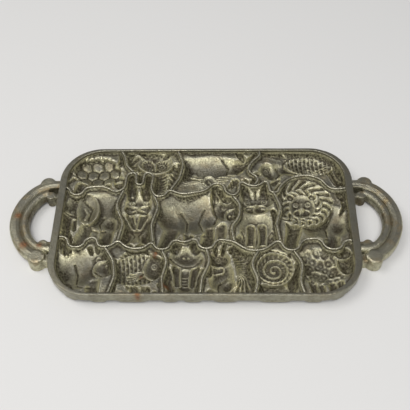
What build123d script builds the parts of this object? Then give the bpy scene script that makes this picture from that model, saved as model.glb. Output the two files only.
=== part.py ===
"""Cast iron cookie mold: a shallow pan with rounded corners, filled with animal-shaped cavities that
share thin winding walls, and with a double-strand loop handle at each end that stands on round feet.

The real object is one sand casting. It is modelled as the regions that a pattern maker builds it up
from: the rim, the walls between neighbouring cavities, one hollowed floor for each cavity, and the
strands, knobs and feet of the handles. Neighbours meet face to face. X runs along the pan, Y towards
its rear long side and Z up, and the feet stand on Z = 0. All sizes are in millimetres.
"""

from build123d import *
import math
import os

# Rim
OVERALL_HEIGHT = 19.0
BODY_LENGTH = 324.0
BODY_WIDTH = 194.0
CORNER_RADIUS = 45.0
RIM_END_WIDTH = 8.0
RIM_SIDE_WIDTH = 3.8
SKIRT_HEIGHT = 12.5
SKIRT_DRAFT = 4.0
RIM_EDGE_RADIUS = 1.0
SKIRT_EDGE_RADIUS = 0.8

# Walls between the cavities
WALL_THICKNESS = 2.6
WALL_DRAFT = 3.0
WALL_EDGE_RADIUS = 0.9
BEND_LIMIT = 22.0
BEND_SHARE = 0.45

# Cavity floors
LEDGE_DEPTH = 8.5
FLOOR_THICKNESS = 3.5

# Handles
HANDLE_OFFSET = 4.0
HANDLE_REACH = 33.0
HANDLE_HALF_SPAN = 42.0
HANDLE_SHOULDER_RADIUS = 27.0
INNER_STRAND_WIDTH = 9.5
OUTER_STRAND_WIDTH = 11.5
STRAND_TOP = 16.5
STRAND_SHOULDER = 12.0
STRAND_BOTTOM = 4.0
STRAND_CHAMFER = 2.2
INNER_RIDGE = 3.6
MIDDLE_BEAD_WIDTH = 4.6
MIDDLE_BEAD_TOP = 15.8
OUTER_BEAD_TOP = 16.3

# Feet outside the strand ends, and knobs inside them
FOOT_RADIUS = 9.0
FOOT_TOP = 16.5
FOOT_X_OFFSET = 13.5
FOOT_Y = 48.5
FOOT_EDGE_RADIUS = 3.0
FOOT_WEB_WIDTH = 10.0
KNOB_RADIUS = 5.3
KNOB_TOP = 15.5
KNOB_BOTTOM = 1.0
KNOB_X_OFFSET = 8.5
KNOB_Y = 32.0
KNOB_EDGE_RADIUS = 1.2
KNOB_WEB_WIDTH = 6.0

# The layout below is drawn on a field of this length and width, and stretched to the real field
DRAWN_LENGTH = 308.0
DRAWN_WIDTH = 186.4

# The two long walls, as points that the wall's middle line bends round, and where each is parted in
# three. Both ends of a long wall run on to the rim.
REAR_WALL = [
    (-160, 41), (-151, 41), (-147, 31), (-136, 31), (-132, 41), (-113, 43), (-98, 34), (-89, 40),
    (-88, 60), (-78, 63), (-76.5, 45), (-69.5, 45), (-68, 63), (-58, 60), (-60, 38), (-54, 28),
    (-45, 29), (-40, 38), (-26, 31), (0, 36), (9, 47), (20, 45), (22, 34), (31, 29), (37, 35),
    (38, 51), (48, 43), (59, 43), (68, 52), (71, 34), (79, 33), (84, 45), (95, 55), (112, 58),
    (127, 53), (137, 37), (160, 40),
]
FRONT_WALL = [
    (-160, -25), (-145, -25), (-142, -38), (-128, -38), (-124, -27), (-114, -26), (-111, -38),
    (-98, -37), (-91, -29), (-80, -40), (-64, -40), (-55, -31), (-50, -41), (-38, -41), (-33, -28),
    (-20, -33), (-9, -26), (-4, -40), (8, -40), (13, -28), (30, -31), (46, -43), (62, -42),
    (78, -28), (84, -42), (97, -42), (102, -29), (121, -27), (126, -41), (141, -41), (146, -29),
    (160, -31),
]
LEFT_PARTING_X = -50.0
RIGHT_PARTING_X = 14.0

# The cross walls, each named for the two cavities that it parts. Each starts in a long wall, and runs
# on to the rim unless it ends in the other long wall.
CROSS_WALLS = {
    "tortoise_owl": [(-79, 61), (-90, 73), (-92, 87), (-101, 100)],
    "owl_whale": [(-39, 36), (-29, 54), (-25, 74), (-34, 100)],
    "whale_duck": [(53, 42), (60, 53), (46, 65), (53, 79), (63, 88), (57, 100)],
    "elephant_rabbit": [(-90, 37), (-97, 16), (-87, -8), (-91, -30)],
    "rabbit_pig": [(-58, 33), (-50, 16), (-57, -10), (-54, -32)],
    "pig_cat": [(30, 29), (38, 18), (37, 0), (28, -12), (31, -31)],
    "cat_lion": [(75, 33), (82, 13), (76, -9), (79, -30)],
    "hippo_fish": [(-104, -38), (-94, -54), (-91, -74), (-98, -100)],
    "fish_frog": [(-44, -42), (-38, -56), (-43, -76), (-40, -100)],
    "frog_squirrel": [(2, -40), (6, -56), (-2, -76), (-4, -100)],
    "squirrel_snail": [(56, -43), (48, -58), (55, -78), (50, -100)],
    "snail_sheep": [(92, -42), (101, -58), (97, -80), (102, -100)],
}
RIM_CROSS_WALLS = [
    "tortoise_owl", "owl_whale", "whale_duck",
    "hippo_fish", "fish_frog", "frog_squirrel", "squirrel_snail", "snail_sheep",
]

# Each cavity floor and the rounded hollows of its animal, the body first, as
# (x, y, half length, half width, depth below the ledge, turn in degrees)
HOLLOWS = {
    "tortoise": [
        (-121, 68, 25, 18, 6.0, 0), (-97, 52, 4, 5, 3.0, 0), (-137, 44, 5, 8, 4.0, -25),
        (-108, 48, 5, 6, 4.0, 0),
    ],
    "owl": [(-57, 78, 19, 12, 5.5, 0), (-48, 55, 7, 15, 5.5, -12), (-82, 80, 6, 8, 4.0, 30)],
    "whale": [(7, 68, 28, 15, 6.0, 0), (40, 77, 8, 7, 4.0, 40)],
    "duck": [(112, 76, 30, 12, 5.5, -3), (72, 67, 12, 9, 5.0, 0), (145, 58, 4, 12, 4.0, 15)],
    "elephant": [
        (-109, 8, 13, 20, 5.5, 0), (-129, 16, 11, 16, 5.0, 0), (-127, -18, 6, 13, 5.0, -25),
        (-103, -17, 6, 13, 5.0, 0), (-145, 1, 5, 15, 4.0, 10),
    ],
    "rabbit": [
        (-73, -9, 12, 17, 5.5, 0), (-73, 18, 12, 14, 5.5, 0), (-83, 43, 3.5, 10, 3.5, 0),
        (-64.5, 44, 3, 9, 3.0, 0),
    ],
    "pig": [
        (-21, 5, 29, 21, 6.5, 0), (17, 14, 9, 17, 5.0, 30), (-43, -21, 7, 13, 5.0, -20),
        (4, -20, 6, 14, 5.0, 0),
    ],
    "cat": [
        (54, -13, 15, 17, 5.5, 0), (54, 20, 15, 13, 5.0, 0), (45, -28, 8, 6, 4.5, 0),
        (64, -28, 8, 6, 4.5, 0),
    ],
    "lion": [
        (106, 21, 15, 16, 4.5, 0), (106, 13, 9, 4, 5.5, 0), (137, -5, 12, 15, 6.0, 0),
        (121, -15, 12, 7, 5.0, 0), (93, -21, 6, 15, 5.0, -10), (133, -25, 7, 12, 5.0, 0),
    ],
    "hippo": [(-126, -63, 21, 18, 6.0, 0), (-105, -58, 8, 9, 5.0, 0), (-112, -79, 6, 8, 4.0, 0)],
    "fish": [(-71, -62, 19, 16, 5.5, 0), (-54, -58, 9, 9, 4.5, 0)],
    "frog": [(-20, -69, 14, 16, 5.5, 0), (-21, -46, 15, 9, 5.0, 0)],
    "squirrel": [(20, -68, 11, 18, 6.0, 0), (38, -58, 8, 18, 4.0, 10), (18, -45, 6, 8, 5.0, 0)],
    "snail": [(73, -61, 17, 16, 5.0, 0), (73, -84, 18, 5, 4.5, 3)],
    "sheep": [
        (121, -62, 20, 17, 6.0, 0), (144, -54, 6, 9, 5.0, 0), (111, -79, 4, 7, 3.5, 0),
        (131, -79, 4, 7, 3.5, 0),
    ],
}

# The lion's mane: a ring of leaning locks round its face, each a hollow of its own
MANE_X = 107
MANE_Y = 22
MANE_RADIUS = 23
LOCKS = 16
LOCK_HALF_LENGTH = 6.5
LOCK_HALF_WIDTH = 3.3
LOCK_DEPTH = 3.0
LOCK_LEAN = 25

field_length = BODY_LENGTH - 2 * RIM_END_WIDTH
field_width = BODY_WIDTH - 2 * RIM_SIDE_WIDTH
field_corner_radius = CORNER_RADIUS - (RIM_END_WIDTH + RIM_SIDE_WIDTH) / 2
ledge_z = OVERALL_HEIGHT - LEDGE_DEPTH
floor_z = ledge_z - FLOOR_THICKNESS
wall_height = OVERALL_HEIGHT - floor_z
run_on = max(BODY_LENGTH, BODY_WIDTH) / 4


def plan(x, y):
    """A drawn point, stretched to the real field."""
    return (x * field_length / DRAWN_LENGTH, y * field_width / DRAWN_WIDTH)


def slab(outline, bottom, top):
    """The outline as a straight block from one height to another."""
    return extrude(Pos(0, 0, bottom) * outline, top - bottom)


def field():
    """The outline that the cavities fill, inside the rim."""
    return RectangleRounded(field_length, field_width, field_corner_radius)


def body_block(depth):
    """The pan's outer form with its drafted side, from the top of the rim down."""
    outline = RectangleRounded(BODY_LENGTH, BODY_WIDTH, CORNER_RADIUS)
    return extrude(Pos(0, 0, OVERALL_HEIGHT) * outline, -depth, taper=SKIRT_DRAFT)


def rim():
    """The flat-topped rim and its skirt, open over the whole field."""
    outer = body_block(SKIRT_HEIGHT)
    outer = fillet(outer.edges().group_by(Axis.Z)[-1], RIM_EDGE_RADIUS)
    outer = fillet(outer.edges().group_by(Axis.Z)[0], SKIRT_EDGE_RADIUS)
    return outer - slab(field(), -OVERALL_HEIGHT, 2 * OVERALL_HEIGHT)


def carried_on(start, end):
    """The end of a run, carried straight on until it is well past the rim."""
    return end + (end - start).normalized() * run_on


def bent_line(points, starts_at_rim, ends_at_rim):
    """A line through the points with every corner rounded as far as its two runs allow."""
    placed = [Vector(*plan(*p)) for p in points]
    if starts_at_rim:
        placed[0] = carried_on(placed[1], placed[0])
    if ends_at_rim:
        placed[-1] = carried_on(placed[-2], placed[-1])
    radii = []
    for before, here, after in zip(placed, placed[1:], placed[2:]):
        run = min((here - before).length, (after - here).length)
        turn = math.radians((here - before).get_angle(after - here))
        radii.append(min(BEND_LIMIT, BEND_SHARE * run / math.tan(turn / 2)))
    return FilletPolyline(*placed, radius=radii)


def wall_profile():
    """A wall's section, with its rounded top edge on y = 0 and its drafted sides below."""
    top = WALL_THICKNESS / 2
    foot = top + math.tan(math.radians(WALL_DRAFT)) * wall_height
    corners = [(-top, 0), (-foot, -wall_height), (foot, -wall_height), (top, 0)]
    section = make_face(Polyline(*corners, close=True))
    return fillet(section.vertices().group_by(Axis.Y)[-1], WALL_EDGE_RADIUS)


def wall(points, starts_at_rim, ends_at_rim):
    """A wall that follows the bent line, from its foot to the level of the rim."""
    line = Pos(0, 0, OVERALL_HEIGHT) * bent_line(points, starts_at_rim, ends_at_rim)
    start = Plane(origin=line @ 0, x_dir=Vector(0, 0, 1).cross(line % 0), z_dir=line % 0)
    return sweep(start * wall_profile(), path=line)


def long_wall_thirds(side, whole):
    """A long wall inside the rim, parted in three across its length."""
    bounds = [-BODY_LENGTH / 2, plan(LEFT_PARTING_X, 0)[0], plan(RIGHT_PARTING_X, 0)[0], BODY_LENGTH / 2]
    thirds = {}
    for place, start, end in zip(("left", "middle", "right"), bounds, bounds[1:]):
        stretch = Pos((start + end) / 2, 0) * Rectangle(end - start, BODY_WIDTH)
        within = slab(field() & stretch, floor_z, OVERALL_HEIGHT)
        thirds[f"wall_{side}_{place}"] = whole & within
    return thirds


def walls():
    """Every wall by name: the two long walls in thirds, and the cross walls between them and the rim."""
    inside = slab(field(), floor_z, OVERALL_HEIGHT)
    rear = wall(REAR_WALL, True, True)
    front = wall(FRONT_WALL, True, True)
    named = {**long_wall_thirds("rear", rear), **long_wall_thirds("front", front)}
    for pair, points in CROSS_WALLS.items():
        cross = (wall(points, False, pair in RIM_CROSS_WALLS) & inside) - rear - front
        named[f"wall_{pair}"] = max(cross.solids(), key=lambda solid: solid.volume)
    return named


def oval(hollow, growth):
    """The ellipsoid of one hollow, or the one that lies the iron's thickness outside it."""
    x, y, half_length, half_width, depth, turn = hollow
    ball = scale(Sphere(1), by=(half_length + growth, half_width + growth, depth + growth))
    return Pos(*plan(x, y), ledge_z) * Rot(0, 0, turn) * ball


def mane_locks():
    """The hollows of the lion's mane, in the form of the other hollows."""
    locks = []
    for k in range(LOCKS):
        angle = 360 * k / LOCKS
        x = MANE_X + MANE_RADIUS * math.cos(math.radians(angle))
        y = MANE_Y + MANE_RADIUS * math.sin(math.radians(angle))
        locks.append((x, y, LOCK_HALF_LENGTH, LOCK_HALF_WIDTH, LOCK_DEPTH, angle + LOCK_LEAN))
    return locks


def floors(all_walls):
    """Every cavity floor by name: the ground between the walls, hollowed above and bulging below."""
    ground = slab(field(), floor_z, ledge_z)
    for one_wall in all_walls.values():
        ground -= one_wall
    cells = ground.solids()
    below = slab(Rectangle(2 * BODY_LENGTH, 2 * BODY_WIDTH), -OVERALL_HEIGHT, floor_z)
    named = {}
    all_hollows = {**HOLLOWS, "lion": HOLLOWS["lion"] + mane_locks()}
    for name, hollows in all_hollows.items():
        middle = Vector(*plan(*hollows[0][:2]), (floor_z + ledge_z) / 2)
        (cell,) = [c for c in cells if c.is_inside(middle)]
        floor = Part() + cell
        for hollow in hollows:
            floor += oval(hollow, FLOOR_THICKNESS) & below
        for hollow in hollows:
            floor -= oval(hollow, 0)
        named[f"floor_{name}"] = floor
    return named


def handle_line():
    """The groove between the right handle's two strands, from the pan's rear round to its front."""
    centre_x = BODY_LENGTH / 2 + HANDLE_OFFSET
    pan_x = BODY_LENGTH / 2 - RIM_END_WIDTH
    shoulder = HANDLE_SHOULDER_RADIUS
    half_span = HANDLE_HALF_SPAN
    tip = (HANDLE_REACH**2 + half_span**2 - 2 * half_span * shoulder) / (2 * (HANDLE_REACH - shoulder))
    turn = math.degrees(math.atan2(tip - HANDLE_REACH, half_span - shoulder))
    out = Line((pan_x, half_span), (centre_x, half_span))
    rear_bend = JernArc(out @ 1, out % 1, shoulder, -turn)
    end_bend = JernArc(rear_bend @ 1, rear_bend % 1, tip, 2 * turn - 180)
    front_bend = JernArc(end_bend @ 1, end_bend % 1, shoulder, -turn)
    back = Line(front_bend @ 1, (pan_x, -half_span))
    return Wire([*out.edges(), *rear_bend.edges(), *end_bend.edges(), *front_bend.edges(), *back.edges()])


def strand(crown, width):
    """One strand under its crown, outside the groove line, or inside it if width is negative."""
    side = math.copysign(1, width)
    low = STRAND_BOTTOM + STRAND_CHAMFER
    base = Polyline(
        crown @ 1, (width, low), (width - side * STRAND_CHAMFER, STRAND_BOTTOM),
        (side * STRAND_CHAMFER, STRAND_BOTTOM), (0, low), crown @ 0,
    )
    section = make_face([*crown.edges(), *base.edges()])
    line = handle_line()
    start = Plane(origin=line @ 0, x_dir=(0, 1, 0), z_dir=(1, 0, 0))
    return sweep(start * section, path=line)


def inner_strand():
    """The inner strand, with one ridge that leans to the groove."""
    width = -INNER_STRAND_WIDTH
    crown = ThreePointArc((0, STRAND_SHOULDER), (-INNER_RIDGE, STRAND_TOP), (width, STRAND_SHOULDER))
    return strand(Wire(crown.edges()), width)


def outer_strand():
    """The outer strand, with a narrow bead along the groove and a wide one along the outside."""
    bead_radius = MIDDLE_BEAD_WIDTH / 2
    bead_z = MIDDLE_BEAD_TOP - bead_radius
    middle_bead = ThreePointArc((0, bead_z), (bead_radius, MIDDLE_BEAD_TOP), (MIDDLE_BEAD_WIDTH, bead_z))
    outer_top = ((MIDDLE_BEAD_WIDTH + OUTER_STRAND_WIDTH) / 2, OUTER_BEAD_TOP)
    outer_bead = ThreePointArc(middle_bead @ 1, outer_top, (OUTER_STRAND_WIDTH, STRAND_SHOULDER))
    return strand(Wire([*middle_bead.edges(), *outer_bead.edges()]), OUTER_STRAND_WIDTH)


def post(radius, x_offset, y, bottom, top, edge_radius, web_width):
    """A round post beside the pan's end, with a lower web that reaches into the pan."""
    x = BODY_LENGTH / 2 + x_offset
    web_start = BODY_LENGTH / 2 - RIM_END_WIDTH
    column = slab(Pos(x, y) * Circle(radius), bottom, top)
    column = fillet(column.edges().group_by(Axis.Z)[-1], edge_radius)
    web = Pos((x + web_start) / 2, y) * Rectangle(x - web_start, web_width)
    return column + slab(web, bottom, top - edge_radius)


def foot(y):
    return post(FOOT_RADIUS, FOOT_X_OFFSET, y, 0, FOOT_TOP, FOOT_EDGE_RADIUS, FOOT_WEB_WIDTH)


def knob(y):
    return post(KNOB_RADIUS, KNOB_X_OFFSET, y, KNOB_BOTTOM, KNOB_TOP, KNOB_EDGE_RADIUS, KNOB_WEB_WIDTH)


def space_over_strands():
    """The room over the strands that the rear foot leaves free, out to the outer bead's crest."""
    crest = (MIDDLE_BEAD_WIDTH + OUTER_STRAND_WIDTH) / 2
    section = make_face(Polyline(
        (-INNER_STRAND_WIDTH, STRAND_BOTTOM), (crest, STRAND_BOTTOM), (crest, OVERALL_HEIGHT),
        (-INNER_STRAND_WIDTH, OVERALL_HEIGHT), close=True,
    ))
    line = handle_line()
    start = Plane(origin=line @ 0, x_dir=(0, 1, 0), z_dir=(1, 0, 0))
    return sweep(start * section, path=line)


def space_behind_knob():
    """The gap between the pan and the rear end of the inner strand, which stops beside its knob."""
    length = KNOB_X_OFFSET + KNOB_RADIUS / 2 + RIM_END_WIDTH
    start = BODY_LENGTH / 2 - RIM_END_WIDTH
    outline = Pos(start + length / 2, HANDLE_HALF_SPAN / 2) * Rectangle(length, HANDLE_HALF_SPAN)
    return slab(outline, 0, OVERALL_HEIGHT)


def right_handle():
    """The four nodes of the right handle, cut where they meet the pan and each other. Only the outer
    strand reaches the pan at the rear, and only the inner strand at the front."""
    pan = body_block(OVERALL_HEIGHT)
    front_foot = foot(-FOOT_Y) - inner_strand() - pan
    outer = max((outer_strand() - front_foot - pan).solids(), key=lambda solid: solid.volume)
    knobs = Part() + [knob(-KNOB_Y), knob(KNOB_Y)] - outer - pan
    inner = inner_strand() - space_behind_knob() - knobs - pan
    rear_foot = foot(FOOT_Y) - space_over_strands() - outer - inner - knobs - pan
    feet = Part() + [front_foot - knobs, rear_foot]
    return {"inner_strand": inner, "outer_strand": outer, "knobs": knobs, "feet": feet}


def all_nodes():
    nodes = {"rim": rim()}
    all_walls = walls()
    nodes.update(all_walls)
    nodes.update(floors(all_walls))
    for name, piece in right_handle().items():
        nodes[f"right_handle_{name}"] = piece
        nodes[f"left_handle_{name}"] = mirror(piece, about=Plane.YZ)
    return nodes


if __name__ == "__main__":
    os.makedirs("parts", exist_ok=True)
    for node, shape in all_nodes().items():
        export_step(shape, f"parts/{node}.step")
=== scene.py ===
"""Cast iron cookie mold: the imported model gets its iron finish, and each cavity floor gets the relief of its
animal. Lengths are millimetres until they are multiplied by MM. The camera, the lights, the table and the
scales of the noise patterns are in metres."""

import math
from functools import partial

import bmesh
import bpy
import numpy as np
from mathutils import Matrix, Vector
from mathutils import noise as hill
from mathutils.bvhtree import BVHTree


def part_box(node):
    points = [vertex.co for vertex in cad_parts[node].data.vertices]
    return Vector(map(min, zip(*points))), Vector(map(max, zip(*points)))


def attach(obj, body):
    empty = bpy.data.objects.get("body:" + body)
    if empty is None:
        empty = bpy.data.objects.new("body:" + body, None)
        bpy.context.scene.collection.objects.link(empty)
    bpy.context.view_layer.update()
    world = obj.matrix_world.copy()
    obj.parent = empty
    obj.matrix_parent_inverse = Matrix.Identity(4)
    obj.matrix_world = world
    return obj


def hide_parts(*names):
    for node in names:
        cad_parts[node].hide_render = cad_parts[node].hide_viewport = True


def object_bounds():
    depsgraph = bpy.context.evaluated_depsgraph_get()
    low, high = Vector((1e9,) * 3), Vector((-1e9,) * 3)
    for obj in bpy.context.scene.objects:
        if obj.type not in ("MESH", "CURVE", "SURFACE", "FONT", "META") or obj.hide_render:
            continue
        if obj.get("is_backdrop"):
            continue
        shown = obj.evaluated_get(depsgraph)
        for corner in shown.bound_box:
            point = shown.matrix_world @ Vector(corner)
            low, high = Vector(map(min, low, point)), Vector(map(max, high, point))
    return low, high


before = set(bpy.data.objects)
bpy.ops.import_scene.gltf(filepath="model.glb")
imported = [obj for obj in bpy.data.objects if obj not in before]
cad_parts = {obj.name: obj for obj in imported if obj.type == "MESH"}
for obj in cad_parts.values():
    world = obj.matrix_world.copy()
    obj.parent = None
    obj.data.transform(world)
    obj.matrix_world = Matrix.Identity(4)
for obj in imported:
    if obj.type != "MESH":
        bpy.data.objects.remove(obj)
cad_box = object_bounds()

MM = 0.001
DOWN = Vector((0, 0, -1))
RIM_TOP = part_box("rim")[1].z / MM
FLOOR_BASE = 7.0
FLOOR_SKIN = 1

# Camera, from the pan's corners and handles in the photograph
CAMERA_PLACE = (0.01979, -0.47309, 0.66460)
CAMERA_RIGHT = (0.99970, 0.01296, -0.02088)
CAMERA_UP = (0.00226, 0.79756, 0.60324)
CAMERA_AHEAD = (-0.02448, 0.60310, -0.79729)
SENSOR_WIDTH = 36.0
FOCAL_LENGTH = 65.85

# Studio. A light is (name, place, size, power, colour)
TABLE_COLOUR = (0.705, 0.706, 0.71)
TABLE_ROUGHNESS = 0.6
TABLE_SHINE = 0.1
TABLE_REACH = 4
WORLD_COLOUR = (0.3, 0.3, 0.304)
LIGHT_AIM = (0, 0.1, 0)
LIGHTS = [
    ("left_light", (-1.0, 0.08, 1.9), 1.1, 16.5, (1.0, 0.98, 0.94)),
    ("front_light", (0.07, -1.0, 2.2), 1.0, 32, (1.0, 0.985, 0.95)),
]

# Relief grid: its pitch, how far it runs on into the walls, and where the walls are measured
PITCH = 0.48
EDGE_STEPS = 2
EDGE_REACH = 1.2
WALL_GAUGE_Z = 16.0
START_STRIDE = 40

# Sides of the cavities, as depths under the top of the rim and reaches from the walls
GROUND = 5.5
SIDE_START = 1.2
SIDE_TUCK = 0.6
SIDE_FALL = 9.5
SIDE_REACH = 2.6
SIDE_SLOPE = 0.55
SIDE_FILLET = 2.0

# Undersides of the reliefs, with painted shade on them
IRON_THICKNESS = 3.3
UNDERSIDE_REACH = 3.5
UNDERSIDE_TUCK = 0.35
UNDERSIDE_PAINTED_SHADE = 0.35

# Carving: how the hand strays, and the edges and marks that it cuts
HAND_WANDER = 0.55
UNEVENNESS = 0.12
DOME_UNEVENNESS = 0.04
FORM_EDGE = 1.0
HOLLOW_EDGE = 3.5
HOLLOW_FILLET = 1.2
HOLLOW_MASK_GAIN = 6
EYE_RING_LIFT = 0.9
EYE_RING_WIDTH = 0.35
PUPIL_LIFT = 1.1
PUPIL_RADIUS = 0.5
STRAND_WAVER = 1.3
STRAND_WAVE = 0.45
STRAND_FADE = 3
GROOVE_BOW = 7
CELL_ROW = 0.87
CELL_JITTER = 0.28
PLATE_JITTER = 0.12
PLATE_SEAM = 0.2
PLATE_DOME = 0.4
CURL_RADIUS = 0.62
CURL_EYE = 0.17
SCALE_RADIUS = 0.62
SCALE_ROWS = 1.4

# Wear, grime and painted shade of the reliefs, by how far the ground lies from its mean within a reach: wear
# on ridges, grime and painted shade in creases, painted shade in broad hollows, deep down and beside the walls
FINE_REACH = 2.0
BROAD_REACH = 5.0
WEAR_GAIN = 0.9
WEAR_START = 0.12
WEAR_LIMIT = 0.6
FINE_GRIME_AND_SHADE = 1.8
FINE_GRIME_AND_SHADE_START = 0.05
BROAD_PAINTED_SHADE = 0.31
BROAD_PAINTED_SHADE_LIMIT = 0.85
DEEP_START = 10
DEEP_REACH = 5
DEEP_PAINTED_SHADE = 0.05
WALL_REACH = 1.5
WALL_PAINTED_SHADE = 0.3

# Castings: the grid that the solids are melted on, the rounds that soften them, and their uneven skin
VOXEL = 0.55
RIM_VOXEL = 0.7
MERGE_REACH = 0.01
RIM_ROUNDING = 2
HANDLE_ROUNDING = 5
WALL_ROUNDING = 8
WALL_THINNING = 0.15
RIM_SWAY = 0.1
WALL_SWAY = 0.28
HANDLE_SWAY = 0.12
LONG_WAVE = 13
SHORT_WAVE = 3
SHORT_WAVE_SHARE = 0.2

# Wear, grime and painted shade of the castings, by how far a point lies from its neighbours after some rounds
# of softening: wear on edges, grime and painted shade in creases, painted shade in broad hollows, and on the
# crests wear with a painted highlight
FINE_ROUNDS = 3
BROAD_ROUNDS = 24
CREASE_GAIN = 1.2
EDGE_WEAR_START = 0.1
CASTING_BROAD_PAINTED_SHADE = 1.7
CREST_DEPTH = 1.7
WALL_CREST_WEAR_AND_HIGHLIGHT = 0.75
HANDLE_CREST_WEAR_AND_HIGHLIGHT = 0.2

# Undersides of the cavities that swell out under the rim, as (x, y, length, turn in degrees)
BELLY_TOP = 6.5
BELLY_BOTTOM = 2.4
BELLY_WIDTH = 8.2
BELLY_FULLNESS = 0.6
BELLY_SIDES = 32
BELLIES = [
    (-106, -92.4, 18, 0), (-72, -92.4, 36, 0), (-34, -92.4, 18, 0), (-11, -92.4, 20, 0), (22, -92.4, 28, 0),
    (72, -92.4, 36, 0), (110, -92.4, 20, 0), (134, -88.4, 16, 25), (-134, -88.4, 16, -25),
    (153.4, -69, 18, 65), (-153.4, -69, 18, -65), (-157, -5, 40, 90), (157, 0, 44, 90),
    (-100, 92.4, 34, 0), (-55, 92.4, 30, 0), (8, 92.4, 50, 0), (90, 92.4, 44, 0),
]

# Handles: the course of the groove between the strands, as arcs of (radius, turn in degrees) from the rear
HANDLE_START = (166, 42)
HANDLE_ROOT_X = 159
HANDLE_ARCS = [(27, 46.4), (48.75, 87.2), (27, 46.4)]
HANDLE_STEP = 1.5
HANDLE_EYE_X = 180
CROWN_OFFSET = 5.75
CROWN_Z = 9.5
CROWN_HALF_WIDTH = 5.6
CROWN_RISE = 7.1
CROWN_SIDES = 24
# Painted shade on the handles' inner faces, which face their eyes
INSIDE_PAINTED_SHADE = 0.75
INSIDE_GAIN = 2
INSIDE_START = 0.25

# Iron colours. Grey is for flats; the bright olive is a painted highlight on steep faces and a real tinge in
# patches; the pale worn colour is wear on edges and, on crests, also a painted highlight; the darkest is grime
# in creases and painted shade in hollows
GREY_IRON = (0.19, 0.183, 0.15)
OLIVE_AND_SLOPE_HIGHLIGHT = (0.9, 0.86, 0.565)
DULL_IRON = (0.15, 0.135, 0.09)
WORN_AND_HIGHLIGHT_IRON = (0.55, 0.525, 0.415)
GRIME_AND_SHADE = (0.028, 0.021, 0.009)
BROWN_SKIN = (0.235, 0.18, 0.095)
RUST_DARK = (0.1, 0.04, 0.016)
RUST_LIGHT = (0.3, 0.125, 0.045)

# Noise patterns of the iron, as (scale, detail, roughness)
PATCHES = (28, 3, 0.55)
MOTTLE = (170, 4, 0.6)
GRAIN = (620, 2, 0.7)
STAINS = (60, 4, 0.65)
PITS = (430, 3, 0.7)
RUST_EDGE = (380, 5, 0.7)

# What the iron makes of them, as (low, high) or (low, high, start, end)
# How steep a face must be to take the painted olive highlight
SLOPE_HIGHLIGHT_RAMP = (0.97, 0.6)
OLIVE_PATCHES = (0.4, 0.7, 0, 0.3)
DULL_MOTTLE = (0.42, 0.72, 0, 0.5)
DULL_PITS = (0.5, 0.66, 0, 0.55)
STAINED = (0.48, 0.68)
WORN_AND_HIGHLIGHT_MOTTLE = (0.3, 0.6, 0.35, 1)
PITTED_GRIME_AND_SHADE = (0.3, 0.65, 0.6, 1)
RUSTY_PITS = (0.35, 0.65)
ROUGHNESS = (0.3, 0.7, 0.28, 0.38)

# Shares of each mark in the colour, the roughness, the metal and the height of the grit
# The share of the painted olive highlight on steep faces
SLOPE_HIGHLIGHT_SHARE = 0.85
RUST_COVER = 0.85
HALO_COVER = 0.7
GRIME_AND_SHADE_ROUGHNESS = 0.18
WEAR_AND_HIGHLIGHT_POLISH = 0.07
RUST_ROUGHNESS = 0.3
METALLIC = 0.82
METALLIC_LOSS = 0.6
GRIME_AND_SHADE_DULLING = 0.6
GRAIN_HEIGHT = 0.45
PIT_HEIGHT = 0.55
RUST_HEIGHT = 0.25

# Finish of each iron, as (olive: the real tinge in patches and the painted highlight on steep faces, stain,
# grit)
IRONS = {
    "cavity_iron": (1.0, 0.4, 1.3),
    "rim_iron": (0.2, 0.2, 0.8),
    "wall_iron": (0.3, 0.2, 0.8),
    "handle_iron": (0.55, 1.0, 1.0),
}

# Rust spots, as (x, y, z, radius), the share that height counts in them, and sizes as shares of the radius
RUST_SPOTS = [
    (-66, -96, 18, 3.0), (-67, -93, 9, 2.0), (-51, -44.5, 10, 3.4), (-39, -83, 10, 3.8), (-65, -68, 10, 2.4),
    (-190, -34, 14, 5.5), (-202, 4, 14, 4.5), (-173, -35, 12, 4.0),
]
RUST_SPREAD_DOWN = 0.25
RUST_CORE = 0.3
RUST_REACH = 1.1
HALO_REACH = 2.4
RUST_RAGGEDNESS = 1.6


def add_object(name, data):
    """A new object that stands in the scene."""
    made = bpy.data.objects.new(name, data)
    bpy.context.scene.collection.objects.link(made)
    return made


def mesh_from(bm, name):
    """A new mesh of what was drawn."""
    mesh = bpy.data.meshes.new(name)
    bm.to_mesh(mesh)
    bm.free()
    return mesh


def new_material(name):
    """A new material, and its shader."""
    material = bpy.data.materials.new(name)
    material.use_nodes = True
    return material, material.node_tree.nodes["Principled BSDF"]


def merged_surface(nodes):
    """The surface of some nodes, to measure distances to."""
    vertices, polygons = [], []
    for node in nodes:
        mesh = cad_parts[node].data
        start = len(vertices)
        vertices += [v.co.copy() for v in mesh.vertices]
        polygons += [[start + k for k in p.vertices] for p in mesh.polygons]
    return BVHTree.FromPolygons(vertices, polygons)


def rise(t):
    """An even rise from 0 to 1."""
    t = np.clip(t, 0, 1)
    return t * t * (3 - 2 * t)


def filleted_min(a, b, reach):
    """The lesser of two surfaces, with a fillet of this reach where they cross."""
    share = np.clip(0.5 + 0.5 * (b - a) / reach, 0, 1)
    return b + (a - b) * share - reach * share * (1 - share)


def softened(values, reach):
    """The values averaged over this reach, each way."""
    steps = max(1, round(2 * reach / PITCH))
    weights = [math.exp(-2 * (k / steps) ** 2) for k in range(-steps, steps + 1)]
    for axis in (0, 1):
        sides = [(steps, steps) if axis == k else (0, 0) for k in (0, 1)]
        padded = np.pad(values, sides, mode="edge")
        length = values.shape[axis]
        total = sum(w * padded.take(range(k, k + length), axis) for k, w in enumerate(weights))
        values = total / sum(weights)
    return values


def grown(mask):
    """The mask and its next neighbours."""
    out = mask.copy()
    out[1:] |= mask[:-1]
    out[:-1] |= mask[1:]
    out[:, 1:] |= mask[:, :-1]
    out[:, :-1] |= mask[:, 1:]
    return out


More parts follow.
